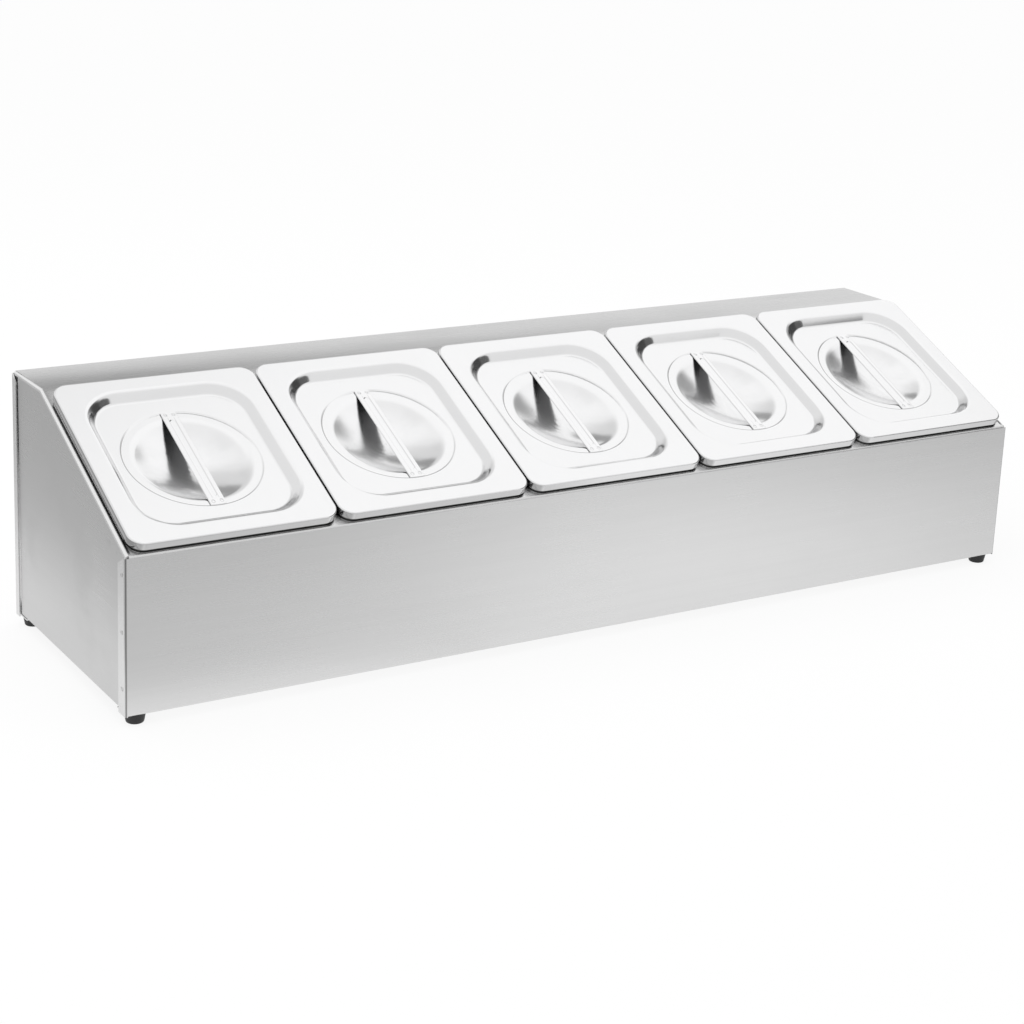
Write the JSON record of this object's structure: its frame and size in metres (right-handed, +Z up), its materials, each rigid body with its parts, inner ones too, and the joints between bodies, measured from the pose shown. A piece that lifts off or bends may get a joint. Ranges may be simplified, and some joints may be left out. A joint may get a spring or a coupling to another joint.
{
  "type": "countertop gastronorm pan holder",
  "caption": "Wedge-shaped steel countertop stand that holds a row of small food pans on a sloping deck, each under a loose lid with a strap handle.",
  "frame": {"origin": "on the worktop, under the middle of the whole object's box, with the feet standing on Z = 0", "axes": "+X to the right along the row of pans, seen from the front; -Y to the front, the low side of the slope; +Z up"},
  "size_m": [0.826, 0.2292, 0.2093],
  "materials": {
    "stand_steel": "brushed stainless sheet",
    "pan_steel": "satin stainless, drawn",
    "lid_steel": "bright satin stainless, pressed",
    "handle_steel": "bright stainless strap",
    "zinc_fasteners": "zinc-plated steel",
    "rubber_foot": "moulded black rubber"
  },
  "bodies": {
    "stand": {"deck_panel": "stand_steel", "front_panel": "stand_steel", "back_panel": "stand_steel", "left_side_panel": "stand_steel", "right_side_panel": "stand_steel", "foot_front_left": "rubber_foot", "foot_front_right": "rubber_foot", "foot_back_left": "rubber_foot", "foot_back_right": "rubber_foot", "foot_screws": "zinc_fasteners", "foot_nuts": "zinc_fasteners"},
    "pan_body_1": {"pan_1": "pan_steel"},
    "pan_body_2": {"pan_2": "pan_steel"},
    "pan_body_3": {"pan_3": "pan_steel"},
    "pan_body_4": {"pan_4": "pan_steel"},
    "pan_body_5": {"pan_5": "pan_steel"},
    "lid_body_1": {"lid_1": "lid_steel", "lid_handle_1": "handle_steel"},
    "lid_body_2": {"lid_2": "lid_steel", "lid_handle_2": "handle_steel"},
    "lid_body_3": {"lid_3": "lid_steel", "lid_handle_3": "handle_steel"},
    "lid_body_4": {"lid_4": "lid_steel", "lid_handle_4": "handle_steel"},
    "lid_body_5": {"lid_5": "lid_steel", "lid_handle_5": "handle_steel"}
  },
  "joints": [
    {"name": "pan_1_lift_out", "type": "slide", "parent": "stand", "child": "pan_body_1", "axis": [0, -0.4226, 0.9063], "range_m": [0, 0.12]},
    {"name": "pan_2_lift_out", "type": "slide", "parent": "stand", "child": "pan_body_2", "axis": [0, -0.4226, 0.9063], "range_m": [0, 0.12]},
    {"name": "pan_3_lift_out", "type": "slide", "parent": "stand", "child": "pan_body_3", "axis": [0, -0.4226, 0.9063], "range_m": [0, 0.12]},
    {"name": "pan_4_lift_out", "type": "slide", "parent": "stand", "child": "pan_body_4", "axis": [0, -0.4226, 0.9063], "range_m": [0, 0.12]},
    {"name": "pan_5_lift_out", "type": "slide", "parent": "stand", "child": "pan_body_5", "axis": [0, -0.4226, 0.9063], "range_m": [0, 0.12]},
    {"name": "lid_1_lift_off", "type": "slide", "parent": "pan_body_1", "child": "lid_body_1", "axis": [0, -0.4226, 0.9063], "range_m": [0, 0.05]},
    {"name": "lid_2_lift_off", "type": "slide", "parent": "pan_body_2", "child": "lid_body_2", "axis": [0, -0.4226, 0.9063], "range_m": [0, 0.05]},
    {"name": "lid_3_lift_off", "type": "slide", "parent": "pan_body_3", "child": "lid_body_3", "axis": [0, -0.4226, 0.9063], "range_m": [0, 0.05]},
    {"name": "lid_4_lift_off", "type": "slide", "parent": "pan_body_4", "child": "lid_body_4", "axis": [0, -0.4226, 0.9063], "range_m": [0, 0.05]},
    {"name": "lid_5_lift_off", "type": "slide", "parent": "pan_body_5", "child": "lid_body_5", "axis": [0, -0.4226, 0.9063], "range_m": [0, 0.05]}
  ]
}
